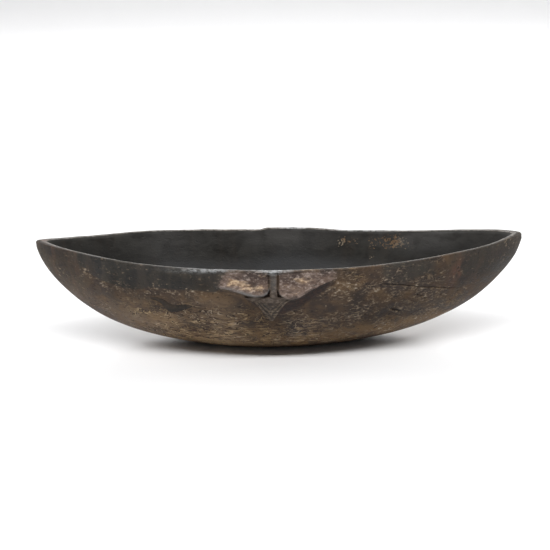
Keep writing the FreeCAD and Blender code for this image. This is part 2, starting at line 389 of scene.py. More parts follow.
def putty_depth(x, z):
    """Distance inside the putty's outline, in mm (negative outside)."""
    best = np.full(x.shape, 1e6)
    inside = np.zeros(x.shape, dtype=bool)
    for p, q in zip(PUTTY_RING, np.roll(PUTTY_RING, -1, axis=0)):
        d = q - p
        t = np.clip(((x - p[0]) * d[0] + (z - p[1]) * d[1]) / d.dot(d), 0, 1)
        best = np.minimum(best, np.hypot(x - p[0] - t * d[0], z - p[1] - t * d[1]))
        crosses = (p[1] > z) != (q[1] > z)
        with np.errstate(divide="ignore", invalid="ignore"):
            crossing = d[0] * (z - p[1]) / d[1] + p[0]
        inside ^= crosses & (x < crossing)
    return np.where(inside, best, -best)


def flank_marks(x, z):
    """The open check, the nick, the small holes and the putty's pocket: how far they stand out (below 0
    where they are cut in), and the masks of the painted shade in their cuts and the painted highlights on
    their edges."""
    line, share = line_distance(x, z, CHECK_LINE)
    line = line + 0.5 * np.sin(x / 7.3) + 0.25 * np.sin(x / 2.3)
    taper = smooth(0.0, 0.1, share) * smooth(1.0, 0.7, share)
    cut = (-1.5 * bell(line, 0.0, 0.65) + 0.25 * bell(line, -1.7, 1.0)) * taper
    # painted shade inside the check
    dark = bell(line, 0.0, 0.85) * taper * (0.75 + 0.25 * np.sin(x / 9.0) ** 2)
    # painted highlight on the check's lower lip
    pale = 0.6 * bell(line, -1.8, 0.9) * taper

    line, share = line_distance(x, z, NICK_LINE)
    taper = smooth(0.0, 0.2, share) * smooth(1.0, 0.7, share)
    cut = cut + (-2.0 * bell(line, 0.0, 1.6) + 0.5 * bell(np.abs(line), 3.2, 1.1)) * taper
    # painted shade in the nick, and painted highlights on its two lips
    dark = np.maximum(dark, bell(line, 0.2, 1.5) * taper)
    pale = np.maximum(pale, 2.4 * bell(np.abs(line), 3.2, 1.3) * taper)

    for hole_x, hole_z, radius in HOLES:
        hole = np.exp(-(np.hypot(x - hole_x, z - hole_z) / radius) ** 2.5)
        cut = cut - 1.6 * hole
        # painted shade in each hole
        dark = np.maximum(dark, hole)

    depth = putty_depth(x, z)
    cut = cut * (depth < -2) - 1.3 * smooth(-0.2, 1.0, depth) + 0.25 * bell(depth, -0.8, 0.8)
    return cut, dark, 0.8 * pale


# ---------------------------------------------------------------- wear and stains

# Soft spots of tone: centre along and up, width and height, strength. The light and dark spots are partly
# the wood's own tone and partly painted light and painted shade. The stains are inside the hollow.
TAN_SPOTS = [(126, 102, 20, 9, 0.4), (166, 90, 26, 8, 0.3), (139, 54, 32, 8, 0.3), (97, 37, 30, 7, 0.5),
             (27, 28, 45, 7, 0.6), (-162, 61, 26, 5, 1.2), (-28, 36, 22, 9, 0.9), (-100, 42, 50, 9, 0.8),
             (-118, 88, 34, 9, 0.4), (-66, 60, 26, 12, 0.4), (212, 69, 40, 12, 0.75), (170, 40, 70, 12, 0.8),
             (-166, 56, 24, 8, 0.7)]
LIGHT_SPOTS = [(-172, 44, 42, 24, 0.7), (-216, 56, 26, 24, 0.4), (-84, 60, 30, 30, 0.6),
               (-100, 14, 80, 14, 0.85), (-84, 92, 30, 14, 0.3), (-124, 90, 18, 14, 0.25),
               (0, 8, 100, 9, 0.35), (128, 24, 30, 12, 0.3), (-292, 84, 24, 26, 0.5),
               (-248, 72, 24, 22, 0.35), (225, 72, 60, 30, 0.25), (-86, 24, 20, 9, 0.8),
               (-84, 6, 34, 9, 0.5), (-162, 44, 20, 12, 0.2), (-198, 84, 20, 12, 0.4),
               (-150, 62, 34, 8, 0.25)]
DARK_SPOTS = [(130, 88, 26, 20, 0.45), (126, 56, 26, 22, 0.5), (176, 84, 26, 14, 0.45),
              (262, 84, 60, 60, 0.3), (82, 56, 24, 20, 0.3), (-216, 116, 32, 20, 0.3),
              (-296, 130, 30, 18, 0.25), (-2, 60, 22, 16, 0.55), (-12, 36, 26, 12, 0.4),
              (-44, 68, 12, 12, 0.35), (300, 118, 40, 36, 0.45), (212, 112, 26, 16, 0.3),
              (-208, 106, 20, 12, 0.2), (-122, 122, 50, 8, 0.3), (-104, 112, 14, 8, 0.6),
              (-312, 142, 26, 12, 0.4), (-232, 112, 6, 24, 0.5), (-262, 110, 5, 30, 0.35),
              (84, 126, 14, 10, 0.35), (150, 56, 46, 10, 0.35), (215, 72, 80, 34, 0.3),
              (75, 36, 40, 14, 0.25), (-34, 58, 14, 14, 0.3), (-208, 90, 22, 12, 0.3),
              (212, 68, 40, 12, 0.25)]
CRUST_SPOTS = [(-116, 34, 92, 20, 1.0), (-82, 56, 26, 22, 0.8), (40, 34, 34, 24, 0.8)]
STAIN_SPOTS = [(97, 119, 9, 8, 1.0), (113, 120, 7, 6, 0.8), (173, 122, 22, 10, 1.3), (140, 118, 7, 9, 0.8),
               (138, 98, 4, 3, 1.0)]
# Lower edge of the smoky coat
COAT_EDGE = np.array([(-305, 146), (-287, 134), (-252, 111), (-216, 103.5), (-180, 104.5), (-144, 106),
                      (-110, 106.5), (-89, 107), (-76, 118)])


def perlin(x, y, z, size, seed):
    """Smooth noise of about -1 to 1 at each point; size is the feature size in mm."""
    start = Vector((seed * 17.3, seed * 5.1, seed * 9.7))
    out = np.empty(x.shape)
    for i in range(x.size):
        out[i] = noise.noise(Vector((x[i] / size[0], y[i] / size[1], z[i] / size[2])) + start)
    return out


def spots(x, z, table):
    """Sum of a table's soft spots."""
    return sum(strength * blot(x, z, *place) for *place, strength in table)


def tones(x, y, z, side, across):
    """Where the surface is coated, worn, flaked and stained, and where painted light, painted shade and a
    painted sheen go; the back follows the front, turned about Z.
    """
    u = np.where(side < 0, x, FRONT_GRIP_X + BACK_GRIP_X - x)
    ragged = perlin(x, y, z, (38, 38, 22), 11)
    hollow = across > 0.99
    outer = across < 0.9
    masks = {}

    edge = along(u, COAT_EDGE)
    coat = smooth(-4, 5, z - edge + 4.5 * ragged) * smooth(-308, -280, u) * smooth(-66, -84, u)
    thin = smooth(-6, 8, z - 110 + 9 * ragged) * smooth(126, 150, u) * smooth(232, 208, u)
    coat = np.maximum(coat, 0.62 * thin)
    coat = np.maximum(coat, 0.62 * smooth(215, 260, u + 8 * ragged) * smooth(76, 118, z + 10 * ragged))
    coat = np.maximum(coat, 0.5 * smooth(-230, -290, u + 8 * ragged))
    masks["coat"] = coat

    tan = spots(u + 6 * ragged, z, TAN_SPOTS) + 0.55 * bell(z, 18, 13) * smooth(260, 170, np.abs(u))
    masks["tan"] = np.clip(tan, 0, 1)
    masks["light"] = spots(u + 5 * ragged, z, LIGHT_SPOTS)
    masks["dark"] = spots(u + 5 * ragged, z, DARK_SPOTS) * outer

    scaly = smooth(96, 62, z - 10 * ragged) * (0.55 + 0.45 * smooth(60, 0, u) * smooth(-260, -190, u))
    masks["scaly"] = np.maximum(scaly, 0.4 * smooth(70, 110, u) * smooth(250, 215, u))
    crust = spots(u + 8 * ragged, z, CRUST_SPOTS) + 0.2 * blot(u, z, -206, 76, 34, 16)
    masks["crust"] = np.clip(crust, 0, 1) * outer
    speck = 0.25 + 0.75 * smooth(40, 95, u) * smooth(262, 225, u) * smooth(132, 112, z)
    under_coat = 0.95 * smooth(-305, -275, u) * smooth(-60, -110, u) * bell(z, edge - 4, 9)
    masks["speck"] = np.maximum(speck * (1 - 0.8 * coat), under_coat)
    masks["streak"] = (1.3 * blot(u, z, 250, 112, 16, 34) + 0.8 * blot(u, z, 284, 104, 8, 22)
                       + 0.4 * smooth(-240, -280, u))
    # painted sheen: a band of grey reflected light just below the rim beside the grip, and at the ridge's
    # head
    masks["painted_sheen"] = blot(u, z - 0.02 * u, -104, 138.0, 40, 2.4) + 2.0 * blot(u, z, -7.0, 137.0, 18, 2.6)
    masks["bare"] = smooth(-326, -340, x)

    masks["stain"] = spots(x, z, STAIN_SPOTS) * (side > 0) * hollow
    # painted light: the low part of the hollow's back wall is made lighter, as where it turns up to the
    # light; the rest of this mask is a greyer tone in the middle
    painted_light_low = smooth(108, 76, z) * smooth(212, 130, np.abs(x + 20))
    masks["grey_and_painted_light"] = (0.55 * bell(x, 14, 55) + 0.45 * bell(x, -165, 44) + 0.9 * painted_light_low) * hollow
    dust = 0.3 + 0.9 * bell(x, 4, 50) + 1.2 * bell(x, 208, 42) + 0.25 * bell(x, -165, 40)
    masks["dust"] = dust * smooth(96, 128, z) * smooth(-330, -220, x) * hollow
    # painted shade: darker low down in the hollow and towards its ends, where shade falls
    middle = 92.0 + 0.16 * np.abs(x)
    painted_hollow_shade = smooth(middle + 22, middle - 22, z + 8 * ragged)
    masks["painted_hollow_shade"] = painted_hollow_shade * smooth(140, 250, np.abs(x + 10) + 14 * ragged) * hollow
    return masks


def relief(x, y, z, across, side, top, wall):
    """All carving, tool marks, dents and wear; returns the moved points and the masks."""
    front = side < 0
    dx = np.where(front, x - FRONT_GRIP_X, BACK_GRIP_X - x)
    near = (np.abs(dx - 8.0) < 98) & (z > 56) & (across < 0.999) & (wall | (across > 0))
    h = np.zeros(x.shape)
    h[near], grip_masks = grip(dx[near], z[near], top[near])
    masks = {}
    for key, values in grip_masks.items():
        masks[key] = np.zeros(x.shape)
        masks[key][near] = values

    # soft unevenness of hand work, weaker on the carving and the rim, tool facets inside, worn carving
    broad = perlin(x, y, z, (70, 40, 45), 1)
    middling = perlin(x, y, z, (26, 16, 18), 2)
    facet = perlin(x, y, z, (34, 20, 9), 3)
    small = perlin(x, y, z, (7, 5, 5), 4)
    worn = perlin(x, y, z, (4.5, 3.5, 3.5), 5)
    outside = (0.75 * broad + 0.28 * middling + 0.12 * small) * smooth(0.0, 14.0, z)
    outside = outside * (1.0 - 0.6 * masks["carve"])
    hollow = 0.8 * broad + 0.45 * np.abs(facet) + 0.15 * middling
    move = np.where(across > 0.99, -hollow, outside)
    move = move * np.where((across > 0) & (across < 0.99), 0.45, 1.0)
    move = move + 0.35 * worn * masks["carve"] * (1 - across)

    flank = front & wall
    cut, dark, pale = flank_marks(x[flank], z[flank])
    move[flank] += cut
    # painted shade in the flank's cuts and holes, and painted highlights on their lips
    masks["painted_cut_shade"][flank] = np.maximum(masks["painted_cut_shade"][flank], dark)
    masks["edge"][flank] = np.maximum(masks["edge"][flank], pale)
    masks.update(tones(x, y, z, side, across))

    # the hull is fuller towards its right end and near its left one, and both tips are blunt
    outer = across < 0.5
    move = move + 2.8 * smooth(190, 290, x) * smooth(148, 120, z) * smooth(10, 60, z) * outer
    move = move + 1.5 * smooth(-230, -320, x) * bell(z, 112, 26) * outer
    blunt = smooth(332, 350, np.abs(x)) * np.clip(1.0 - (top - z) / 10.0, 0, 1) * outer

    _, length, width = hull_section(z)
    normal_x = x / (length + 1.0) ** 2
    normal_y = y / (width + 1.0) ** 2
    size = np.hypot(normal_x, normal_y) + 1e-9
    new_x = x + normal_x / size * move - np.where(x > 0, 4.4, 1.8) * np.sign(x) * blunt
    new_y = y + normal_y / size * move + side * h * (1.0 - across)
    rim_wave = perlin(x, y * 0.2, np.zeros(x.shape), (16, 16, 16), 6)
    new_z = z + 0.35 * rim_wave * smooth(14, 0, top - z) * smooth(0.0, 30.0, z)
    return new_x, new_y, new_z, masks


# ---------------------------------------------------------------- mesh

# Lower edge of the finest cells around the front grip: offset from its ridge, and height
FINE_EDGE = np.array([(-88, 104), (-45, 94), (-3, 56), (20, 66), (92, 112)])
FINE_TOP = 141
FINE_BOTTOM = 58               # the cells beside a grip are finer from here up
FINE_INNER_ROWS = 72           # rows of the hollow's back wall, next to the rim, with finer cells
HEAD_REACH = 30                # how far to each side of the ridge the rim's cells are finest
MARK_REACH = 5.0               # how far around a mark the cells are finest


def cell_levels():
    """How finely each cell is split: 0 leaves it whole, and each level halves its steps."""
    cu, cv = np.meshgrid(np.arange(COLUMNS // CELL), np.arange(LAST_ROW // CELL), indexing="ij")
    u, v = cu * CELL + CELL // 2, cv * CELL + CELL // 2
    x, _, z, _, side, _ = shell(u, v)
    wall, rim, front = within(v, "wall"), within(v, "rim"), side < 0
    level = np.zeros(u.shape, dtype=int)
    level[wall] = 1
    level[rim] = 2
    level[within(v, "inner") & (v < STARTS["inner"] + FINE_INNER_ROWS) & ~front] = 1

    dx = np.where(front, x - FRONT_GRIP_X, BACK_GRIP_X - x)
    beside = wall & (dx > FINE_EDGE[0, 0]) & (dx < FINE_EDGE[-1, 0])
    level[beside & (z > FINE_BOTTOM)] = 2
    level[beside & front & (z > along(dx, FINE_EDGE)) & (z < FINE_TOP)] = 3
    level[rim & front & (np.abs(dx) < HEAD_REACH)] = 3

    flank = wall & front
    for line in (CHECK_LINE, NICK_LINE):
        level[flank & (np.abs(line_distance(x, z, line)[0]) < MARK_REACH)] = 3
    for hole_x, hole_z, _ in HOLES:
        level[flank & (np.hypot(x - hole_x, z - hole_z) < MARK_REACH)] = 3
    level[flank & (putty_depth(x, z) > -MARK_REACH)] = 3

    # neighbours end up one level apart at most
    for _ in range(level.max()):
        grown = np.maximum(level, np.roll(level, 1, axis=0) - 1)
        grown = np.maximum(grown, np.roll(level, -1, axis=0) - 1)
        grown[:, 1:] = np.maximum(grown[:, 1:], level[:, :-1] - 1)
        grown[:, :-1] = np.maximum(grown[:, :-1], level[:, 1:] - 1)
        level = grown
    return level


def used_points(level):
    """Which points of the lattice the cells use."""
    used = np.zeros((COLUMNS, LAST_ROW + 1), dtype=bool)
    for (cu, cv), fineness in np.ndenumerate(level):
        steps = np.arange(0, CELL + 1, CELL >> fineness)
        used[np.ix_((cu * CELL + steps) % COLUMNS, cv * CELL + steps)] = True
    return used


def cell_faces(level, used, numbers):
    """Faces of all the cells; a face also takes in a finer neighbour's points on its edges."""
    used = used.tolist()
    numbers = numbers.tolist()

    def walk(u0, v0, u1, v1):
        steps = abs(u1 - u0) + abs(v1 - v0)
        du, dv = (u1 - u0) // steps, (v1 - v0) // steps
        line = [((u0 + du * k) % COLUMNS, v0 + dv * k) for k in range(steps)]
        return [numbers[u][v] for u, v in line if used[u][v]]

    faces = []
    for (cu, cv), fineness in np.ndenumerate(level):
        step = CELL >> int(fineness)
        for u0 in range(cu * CELL, cu * CELL + CELL, step):
            for v0 in range(cv * CELL, cv * CELL + CELL, step):
                u1, v1 = u0 + step, v0 + step
                ring = walk(u0, v0, u1, v0) + walk(u1, v0, u1, v1)
                ring += walk(u1, v1, u0, v1) + walk(u0, v1, u0, v0)
                face = [number for place, number in enumerate(ring) if number != ring[place - 1]]
                if len(face) > 2:
                    faces.append(face)
    return faces


def add_object(name, points, faces):
    """Smooth-shaded mesh object from points in metres."""
    mesh = bpy.data.meshes.new(name)
    mesh.from_pydata(points.tolist(), [], faces)
    mesh.validate()
    mesh.shade_smooth()
    thing = bpy.data.objects.new(name, mesh)
    bpy.context.scene.collection.objects.link(thing)
    return thing


def build_bowl():
    """The whole bowl, with its masks as attributes. The lattice's first and last rows are one point each:
    the middle of the foot and the middle of the hollow's floor."""
    level = cell_levels()
    used = used_points(level)
    body = used.copy()
    body[:, [0, LAST_ROW]] = False
    u, v = np.nonzero(body)
    numbers = np.full(used.shape, -1)
    numbers[u, v] = np.arange(u.size)
    numbers[:, 0] = u.size
    numbers[:, LAST_ROW] = u.size + 1

    x, y, z, across, side, top = shell(u, v)
    x, y, z, masks = relief(x, y, z, across, side, top, within(v, "wall"))
    masks["inside"] = across
    middles = [(-FOOT_SHIFT, 0.0, 0.0), (-FOOT_SHIFT, 0.0, FLOOR_HEIGHT - FLOOR_DIP)]
    points = np.vstack([np.column_stack([x, y, z]), middles])
    bowl = add_object("bowl", points / MM_PER_METRE, cell_faces(level, used, numbers))
    for key, values in masks.items():
        ends = [values[v <= CELL].mean(), values[v >= LAST_ROW - CELL].mean()]
        layer = bowl.data.attributes.new(key, "FLOAT", "POINT")
        layer.data.foreach_set("value", np.concatenate([values, ends]).astype(np.float32))
    return bowl


def putty_level(foot, share, sunk=None):
    """One ring of the putty: sunk below the flank, or else domed and a little uneven."""
    x, z = (foot + (PUTTY_RING - foot) * share).T
    out = outer_y(x, z)
    if sunk is None:
        rise = 0.75 * (1 - share) ** 0.6 - 0.1 + 0.25 * perlin(x, -out, z, (14, 10, 10), 8)
    else:
        rise = -sunk
    return np.column_stack([x, -(out + rise), z])


def build_putty():
    """A low cushion of putty that fills its pocket and stands a hair proud of the wood. Its rings shrink
    from the outline towards the putty's spine."""
    foot = np.array([PUTTY_SPINE[np.argmin(np.hypot(*(PUTTY_SPINE - p).T))] for p in PUTTY_RING])
    for _ in range(6):
        foot = (np.roll(foot, 1, axis=0) + foot + np.roll(foot, -1, axis=0)) / 3.0
    rings = [putty_level(foot, 1.0, 3.2), putty_level(foot, 1.0, 0.9)]
    rings += [putty_level(foot, share) for share in (0.97, 0.9, 0.78, 0.62, 0.45, 0.28, 0.12)]
    count = len(PUTTY_RING)
    last = (len(rings) - 1) * count
    faces = []
    for start in range(0, last, count):
        for k in range(count):
            a, b = start + k, start + (k + 1) % count
            faces.append([a, b, b + count, a + count])
    faces.append(list(range(last, last + count)))
    faces.append(list(reversed(range(count))))
    return add_object("putty", np.vstack(rings) / MM_PER_METRE, faces)


bowl = build_bowl()
putty = build_putty()


# ---------------------------------------------------------------- materials

class Graph:
    """Small helper for building a material's node graph."""

    def __init__(self, name):
        self.material = bpy.data.materials.new(name)
        self.material.use_nodes = True
        self.tree = self.material.node_tree
        self.tree.nodes.clear()
        self.out = self.tree.nodes.new("ShaderNodeOutputMaterial")
        self.coord = self.tree.nodes.new("ShaderNodeTexCoord").outputs["Object"]

    def put(self, socket, value):
        if isinstance(value, bpy.types.NodeSocket):
            self.tree.links.new(value, socket)
        else:
            socket.default_value = value

    def node(self, kind, settings=None, **inputs):
        n = self.tree.nodes.new(kind)
        for key, value in (settings or {}).items():
            setattr(n, key, value)
        for key, value in inputs.items():
            self.put(n.inputs[key.replace("_", " ")], value)
        return n

    def math(self, operation, a, b=0.0, clamp=False):
        n = self.node("ShaderNodeMath", {"operation": operation, "use_clamp": clamp})
        self.put(n.inputs[0], a)
        self.put(n.inputs[1], b)
        return n.outputs[0]

    def times(self, a, b, clamp=False):
        return self.math("MULTIPLY", a, b, clamp)

    def plus(self, a, b, clamp=False):
        return self.math("ADD", a, b, clamp)

    def about(self, value, middle, amount):
        """How far a value is above its middle, times an amount."""
        return self.times(self.math("SUBTRACT", value, middle), amount)

    def mix(self, share, a, b, blend="MIX"):
        n = self.node("ShaderNodeMix", {"data_type": "RGBA", "blend_type": blend})
        self.put(n.inputs["Factor"], share)
        self.put(n.inputs[6], a)
        self.put(n.inputs[7], b)
        return n.outputs[2]

    def tint(self, colour, mask, strength, tone):
        """Lays a tone over a colour where a mask says."""
        return self.mix(self.times(mask, strength), colour, tone)

    def span(self, value, low, high, to_low=0.0, to_high=1.0):
        """Smooth step of a value from one range to another."""
        n = self.node("ShaderNodeMapRange", {"interpolation_type": "SMOOTHSTEP"})
        self.put(n.inputs["Value"], value)
        for key, v in (("From Min", low), ("From Max", high), ("To Min", to_low), ("To Max", to_high)):
            n.inputs[key].default_value = v
        return n.outputs[0]

    def scaled(self, x, y, z, start=(0, 0, 0)):
        """Object coordinates, scaled and moved."""
        n = self.node("ShaderNodeMapping", Vector=self.coord)
        n.inputs["Scale"].default_value = (x, y, z)
        n.inputs["Location"].default_value = start
        return n.outputs[0]

    def noise(self, vector, scale, detail, rough, warp=0.0):
        n = self.node("ShaderNodeTexNoise", Vector=vector, Scale=scale, Detail=detail, Roughness=rough,
                      Distortion=warp)
        return n.outputs["Fac"]

    def field(self, name):
        """A mask that the mesh carries."""
        return self.node("ShaderNodeAttribute", {"attribute_name": name}).outputs["Fac"]

    def finish(self, colour, roughness, specular, height, strength, distance):
        """Joins colour, roughness and bump in the shader, and returns the material."""
        shader = self.node("ShaderNodeBsdfPrincipled", Base_Color=colour, Roughness=roughness)
        shader.inputs["Specular IOR Level"].default_value = specular
        bump = self.node("ShaderNodeBump", Strength=strength, Distance=distance, Height=height)
        self.put(shader.inputs["Normal"], bump.outputs[0])
        self.put(self.out.inputs["Surface"], shader.outputs[0])
        return self.material


class Wood(Graph):
    """The wood's graph, with the noises and masks that several of its layers share."""

    def __init__(self):
        super().__init__("aged wood")
        self.broad = self.noise(self.scaled(1, 1, 1), 11, 2, 0.5)
        self.patch = self.noise(self.scaled(1, 1.3, 1.4, (2, 0, 1)), 30, 5, 0.55, 0.8)
        self.flake = self.noise(self.scaled(0.8, 1.2, 2.2, (0, 3, 1)), 40, 3, 0.55, 0.9)
        self.gate = self.noise(self.scaled(1, 1, 1.4, (5, 1, 0)), 30, 3, 0.6)
        self.grain = self.noise(self.scaled(1, 1.5, 1.9), 190, 4, 0.65)
        self.fleck = self.noise(self.scaled(1, 1.3, 1.7, (3, 1, 2)), 170, 4, 0.64)
        self.pit = self.noise(self.scaled(1, 1.2, 1.5, (7, 2, 5)), 170, 2, 0.55)
        self.drip = self.noise(self.scaled(1, 1, 0.12, (0, 0, 3)), 60, 4, 0.6)
        self.terraces = self.times(self.flake, 6.0)
        self.crust = self.field("crust")
        self.scaly = self.field("scaly")
        self.inside = self.field("inside")


def srgb(*values):
    """Linear colour from display values of 0 to 255."""
    shares = [value / 255 for value in values]
    return tuple(s / 12.92 if s <= 0.04045 else ((s + 0.055) / 1.055) ** 2.4 for s in shares) + (1.0,)


def handled_wood(g):
    """Bare brown wood, tan in patches and towards the foot, lighter in spots that are partly paler wood and
    partly painted light, and roughened by its grain.
    """
    body = g.mix(g.span(g.patch, 0.36, 0.64), srgb(40, 30, 22), srgb(86, 67, 48))
    body = g.tint(body, g.span(g.broad, 0.4, 0.62), 0.4, srgb(64, 52, 46))
    tan = g.span(g.plus(g.field("tan"), g.about(g.patch, 0.5, 2.2)), 0.15, 1.0)
    body = g.tint(body, tan, 0.8, srgb(116, 92, 62))
    # lighter spots: partly paler wood, partly painted light, strongest near the foot
    light = g.field("light")
    body = g.mix(g.span(light, 0.0, 1.0, 0.0, 0.75), body, srgb(128, 106, 82))
    body = g.mix(g.span(light, 1.0, 1.6, 0.0, 0.6), body, srgb(164, 142, 112))
    rough = g.plus(g.span(g.gate, 0.42, 0.6, 0.1, 0.55), g.times(g.crust, 0.35), clamp=True)
    body = g.tint(body, g.span(g.grain, 0.52, 0.68), rough, srgb(116, 98, 78))
    return g.tint(body, g.span(g.grain, 0.46, 0.34), rough, srgb(26, 20, 16))


def flaking_skin(g, body):
    """Terraces with painted highlights on their upper edges and painted shade on their lower ones, and a
    crust of short strokes.
    """
    saw = g.math("FRACT", g.terraces)
    # painted highlight on the flakes' upper edges, where light falls
    crest_highlight = g.times(g.span(saw, 0.08, 0.24, 1.0, 0.0),
                    g.span(g.plus(g.gate, g.times(g.crust, 0.06)), 0.43, 0.56))
    crest_highlight_tone = g.mix(g.span(g.broad, 0.4, 0.6), srgb(168, 142, 104), srgb(160, 142, 120))
    body = g.tint(body, g.times(crest_highlight, g.scaly), 0.9, crest_highlight_tone)
    # painted shade on the flakes' lower edges
    foot = g.times(g.span(saw, 0.7, 0.92), g.span(g.plus(g.gate, g.times(g.crust, 0.08)), 0.4, 0.52))
    body = g.tint(body, g.times(foot, g.scaly), 0.95, srgb(30, 18, 11))
    stroke = g.noise(g.scaled(0.6, 1.2, 3.0, (1, 6, 2)), 105, 3, 0.6, 0.5)
    body = g.tint(body, g.span(stroke, 0.54, 0.62), g.times(g.crust, 0.95), srgb(42, 24, 14))
    return g.tint(body, g.span(stroke, 0.45, 0.36), g.times(g.crust, 0.85), srgb(162, 137, 102))


def smoky_coat(g, body):
    """Dark grey coat on the upper flank, rusty drips near the ends, and then specks, pits, and darker spots
    that are partly the wood's own tone and partly painted shade.
    """
    coat = g.span(g.plus(g.field("coat"), g.about(g.patch, 0.5, 1.1)), 0.25, 0.8)
    tone = g.mix(g.span(g.patch, 0.38, 0.62), srgb(31, 31, 30), srgb(50, 49, 45))
    tone = g.tint(tone, g.span(g.drip, 0.46, 0.62), 0.5, srgb(66, 59, 52))
    tone = g.tint(tone, g.span(g.drip, 0.46, 0.36), 0.5, srgb(26, 27, 27))
    tone = g.tint(tone, g.span(g.grain, 0.5, 0.7), 0.3, srgb(76, 70, 62))
    skin = g.tint(body, coat, 0.9, tone)
    drips = g.times(g.span(g.drip, 0.5, 0.66), g.field("streak"))
    skin = g.tint(skin, drips, 0.7, srgb(96, 66, 50))
    speck = g.plus(g.plus(g.fleck, g.times(g.field("speck"), 0.09)), g.about(g.gate, 0.5, 0.4))
    skin = g.tint(skin, g.span(speck, 0.6, 0.74), 0.66, srgb(134, 116, 96))
    skin = g.tint(skin, g.span(speck, 0.72, 0.8), 0.7, srgb(182, 170, 152))
    skin = g.tint(skin, g.span(g.pit, 0.4, 0.26), 0.75, srgb(24, 19, 15))
    # darker spots, multiplied in: partly the wood's own tone, partly painted shade
    shade = g.times(g.field("dark"), 1.0, clamp=True)
    return g.mix(shade, skin, srgb(150, 138, 120), "MULTIPLY")


def worn_lobes(g):
    """Pinkish worn wood of the lobes, darker up each scoop as painted shade, with a cream patch of pale
    wood, brightened as painted light where the ledge faces up.
    """
    # painted shade: darker up each scoop, lighter down towards its lip, as light falls on it
    pale = g.mix(g.span(g.field("scoop"), 0.3, 0.75), srgb(98, 80, 70), srgb(68, 56, 51))
    pale = g.tint(pale, g.span(g.patch, 0.42, 0.6), 0.7, srgb(118, 101, 91))
    pale = g.tint(pale, g.span(g.fleck, 0.5, 0.66), 0.65, srgb(168, 152, 142))
    pale = g.tint(pale, g.span(g.fleck, 0.46, 0.34), 0.5, srgb(62, 48, 42))
    pale = g.tint(pale, g.span(g.flake, 0.46, 0.36), 0.7, srgb(54, 42, 37))
    # cream patch: pale wood, brightened as painted light where the ledge faces up
    cream = g.plus(g.field("cream"), g.about(g.flake, 0.5, 2.4))
    cream = g.span(g.plus(cream, g.about(g.grain, 0.5, 1.4)), 0.3, 1.1)
    cream_tone = g.mix(g.span(g.fleck, 0.42, 0.6), srgb(140, 114, 90), srgb(204, 178, 146))
    return g.tint(pale, cream, 0.9, cream_tone)


def carved_grips(g, skin):
    """Bare cut wood, worn lobes, painted shade on their undersides, pale edges, and painted grey highlights
    on the lips, the ridge and its head.
    """
    cut_tone = g.mix(g.span(g.fleck, 0.42, 0.62), srgb(66, 58, 52), srgb(108, 98, 90))
    skin = g.tint(skin, g.field("carve"), g.span(g.patch, 0.38, 0.6, 0.3, 0.75), cut_tone)
    worn = g.span(g.plus(g.field("lobe"), g.about(g.fleck, 0.5, 1.1)), 0.3, 0.75)
    skin = g.mix(worn, skin, worn_lobes(g))
    # painted shade: dark reddish-brown on the lobes' undersides
    shadow = g.mix(g.span(g.grain, 0.4, 0.65), srgb(26, 16, 13), srgb(54, 37, 31))
    skin = g.tint(skin, g.field("under"), 0.95, shadow)
    skin = g.tint(skin, g.field("edge"), g.span(g.fleck, 0.42, 0.6, 0.0, 0.8), srgb(118, 103, 84))
    # painted grey highlights on the lips, the ridge and its head
    return g.tint(skin, g.field("grey"), g.span(g.patch, 0.36, 0.6, 0.2, 0.85), srgb(98, 102, 103))


def dark_hollow(g):
    """Dark inside, greyer in the middle, with painted light low on the back wall, dust, pale stains, and
    painted shade low down towards the ends.
    """
    hollow = g.mix(g.span(g.patch, 0.35, 0.66), srgb(38, 36, 33), srgb(54, 52, 48))
    hollow = g.tint(hollow, g.span(g.drip, 0.48, 0.66), 0.25, srgb(64, 54, 44))
    # greyer tone in the middle, and painted light low on the back wall
    hollow = g.tint(hollow, g.field("grey_and_painted_light"), g.span(g.broad, 0.3, 0.6, 0.5, 0.95), srgb(66, 66, 67))
    hollow = g.tint(hollow, g.field("dust"), g.span(g.patch, 0.34, 0.6, 0.5, 1.0), srgb(84, 82, 80))
    dots = g.noise(g.scaled(1, 1, 1, (4, 4, 1)), 330, 3, 0.6)
    stain = g.field("stain")
    stained = g.span(g.plus(stain, g.about(dots, 0.5, 5.0)), 0.75, 1.35)
    stain_tone = g.mix(g.span(g.gate, 0.4, 0.6), srgb(140, 112, 84), srgb(164, 150, 130))
    hollow = g.tint(hollow, stained, g.span(stain, 0.06, 0.35, 0.0, 0.8), stain_tone)
    hollow = g.tint(hollow, g.span(g.grain, 0.52, 0.72), 0.15, srgb(84, 78, 70))
    # painted shade low in the hollow, towards its ends
    return g.tint(hollow, g.field("painted_hollow_shade"), 0.75, srgb(19, 18, 16))


def rubbed_rim(g, colour):
    """Rim rubbed to grey, browner on its bare end, with a painted sheen below it, and then the painted shade
    in the cuts and crevices.
    """
    on_rim = g.times(g.span(g.inside, 0.35, 0.6), g.span(g.inside, 0.92, 0.99, 1.0, 0.0))
    rim = g.mix(g.span(g.fleck, 0.36, 0.6), srgb(74, 70, 66), srgb(124, 120, 114))
    bare = g.mix(g.span(g.patch, 0.36, 0.62), srgb(84, 68, 60), srgb(116, 100, 90))
    colour = g.tint(colour, on_rim, 0.85, g.mix(g.field("bare"), rim, bare))
    # painted sheen: grey reflected light on the outside just below the rim
    sheen_mask = g.times(g.field("painted_sheen"), g.span(g.fleck, 0.4, 0.58, 0.15, 0.9))
    sheen_tone = g.mix(g.span(g.grain, 0.4, 0.6), srgb(134, 137, 138), srgb(168, 168, 168))
    colour = g.tint(colour, sheen_mask, g.span(g.inside, 0.9, 0.97, 1.0, 0.0), sheen_tone)
    # painted shade in the cuts, grooves, holes and crevices
    return g.tint(colour, g.field("painted_cut_shade"), 0.8, srgb(24, 18, 16))


